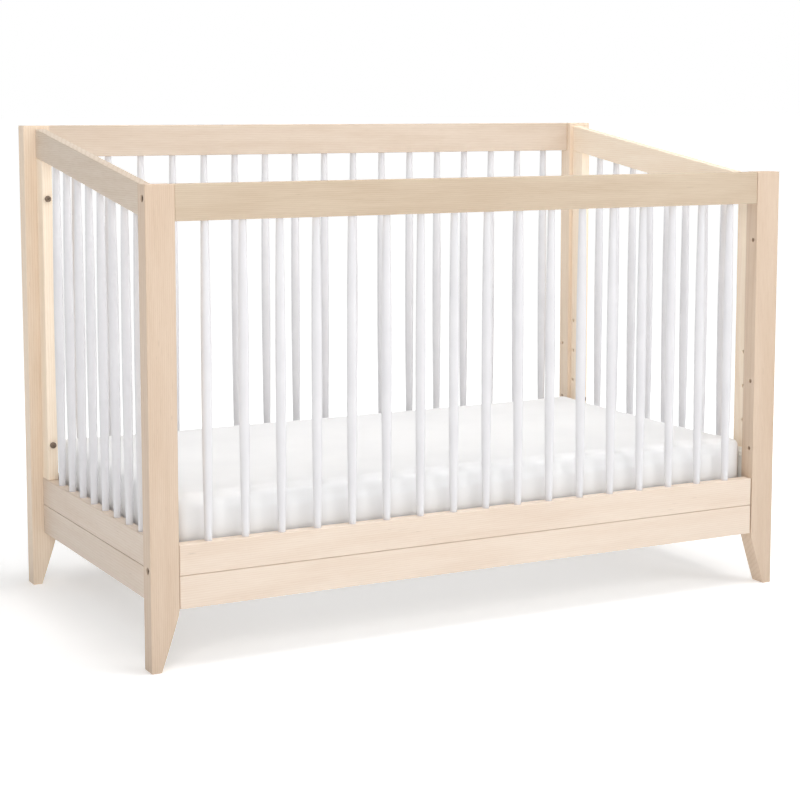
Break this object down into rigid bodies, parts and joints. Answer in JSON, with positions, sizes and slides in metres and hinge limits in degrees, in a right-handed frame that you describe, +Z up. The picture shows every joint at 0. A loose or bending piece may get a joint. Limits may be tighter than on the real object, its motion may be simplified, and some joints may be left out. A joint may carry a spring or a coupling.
{
  "type": "baby crib",
  "caption": "Slatted wooden baby crib with tapered legs, a taller back, sloping ends, turned pale spindles and a mattress on a height-adjustable support.",
  "frame": {"origin": "on the floor, under the middle of the crib's box", "axes": "+X along the crib, +Y from the lower front to the taller back, +Z up"},
  "size_m": [1.425, 0.763, 0.989],
  "materials": {
    "leg_wood": "pale washed timber, satin",
    "rail_wood": "pale washed timber, satin",
    "spindle_paint": "white satin paint over turned wood",
    "bolt_metal": "dark bronze plated steel",
    "support_steel": "silver-grey powder coat",
    "cotton_sheet": "white cotton fitted sheet over a foam mattress"
  },
  "bodies": {
    "frame": {"left_front_leg": "leg_wood", "left_back_leg": "leg_wood", "right_front_leg": "leg_wood", "right_back_leg": "leg_wood", "front_top_rail": "rail_wood", "front_lower_rail": "rail_wood", "front_apron": "rail_wood", "front_spindles": "spindle_paint", "back_top_rail": "rail_wood", "back_lower_rail": "rail_wood", "back_apron": "rail_wood", "back_spindles": "spindle_paint", "left_end_top_rail": "rail_wood", "left_end_lower_rail": "rail_wood", "left_end_apron": "rail_wood", "left_front_stile": "rail_wood", "left_back_stile": "rail_wood", "left_end_spindles": "spindle_paint", "right_end_top_rail": "rail_wood", "right_end_lower_rail": "rail_wood", "right_end_apron": "rail_wood", "right_front_stile": "rail_wood", "right_back_stile": "rail_wood", "right_end_spindles": "spindle_paint", "left_front_lower_side_bolt": "bolt_metal", "left_front_lower_stile_bolt": "bolt_metal", "left_front_lower_nut": "bolt_metal", "left_front_upper_side_bolt": "bolt_metal", "left_front_upper_stile_bolt": "bolt_metal", "left_front_upper_nut": "bolt_metal", "left_back_lower_stile_bolt": "bolt_metal", "left_back_lower_nut": "bolt_metal", "left_back_upper_stile_bolt": "bolt_metal", "left_back_upper_nut": "bolt_metal", "right_front_lower_side_bolt": "bolt_metal", "right_front_lower_stile_bolt": "bolt_metal", "right_front_lower_nut": "bolt_metal", "right_front_upper_side_bolt": "bolt_metal", "right_front_upper_stile_bolt": "bolt_metal", "right_front_upper_nut": "bolt_metal", "right_back_lower_stile_bolt": "bolt_metal", "right_back_lower_nut": "bolt_metal", "right_back_upper_stile_bolt": "bolt_metal", "right_back_upper_nut": "bolt_metal"},
    "mattress_support": {"mattress_support_frame": "support_steel", "mattress_support_deck": "support_steel", "left_front_bracket": "support_steel", "left_front_bracket_bolt": "bolt_metal", "left_back_bracket": "support_steel", "left_back_bracket_bolt": "bolt_metal", "right_front_bracket": "support_steel", "right_front_bracket_bolt": "bolt_metal", "right_back_bracket": "support_steel", "right_back_bracket_bolt": "bolt_metal"},
    "mattress": {"mattress": "cotton_sheet"}
  },
  "joints": [
    {"name": "support_height", "type": "slide", "parent": "frame", "child": "mattress_support", "axis": [0, 0, 1], "range_m": [0, 0.222]},
    {"name": "mattress_lift", "type": "slide", "parent": "mattress_support", "child": "mattress", "axis": [0, 0, 1], "range_m": [0, 0.8]}
  ]
}
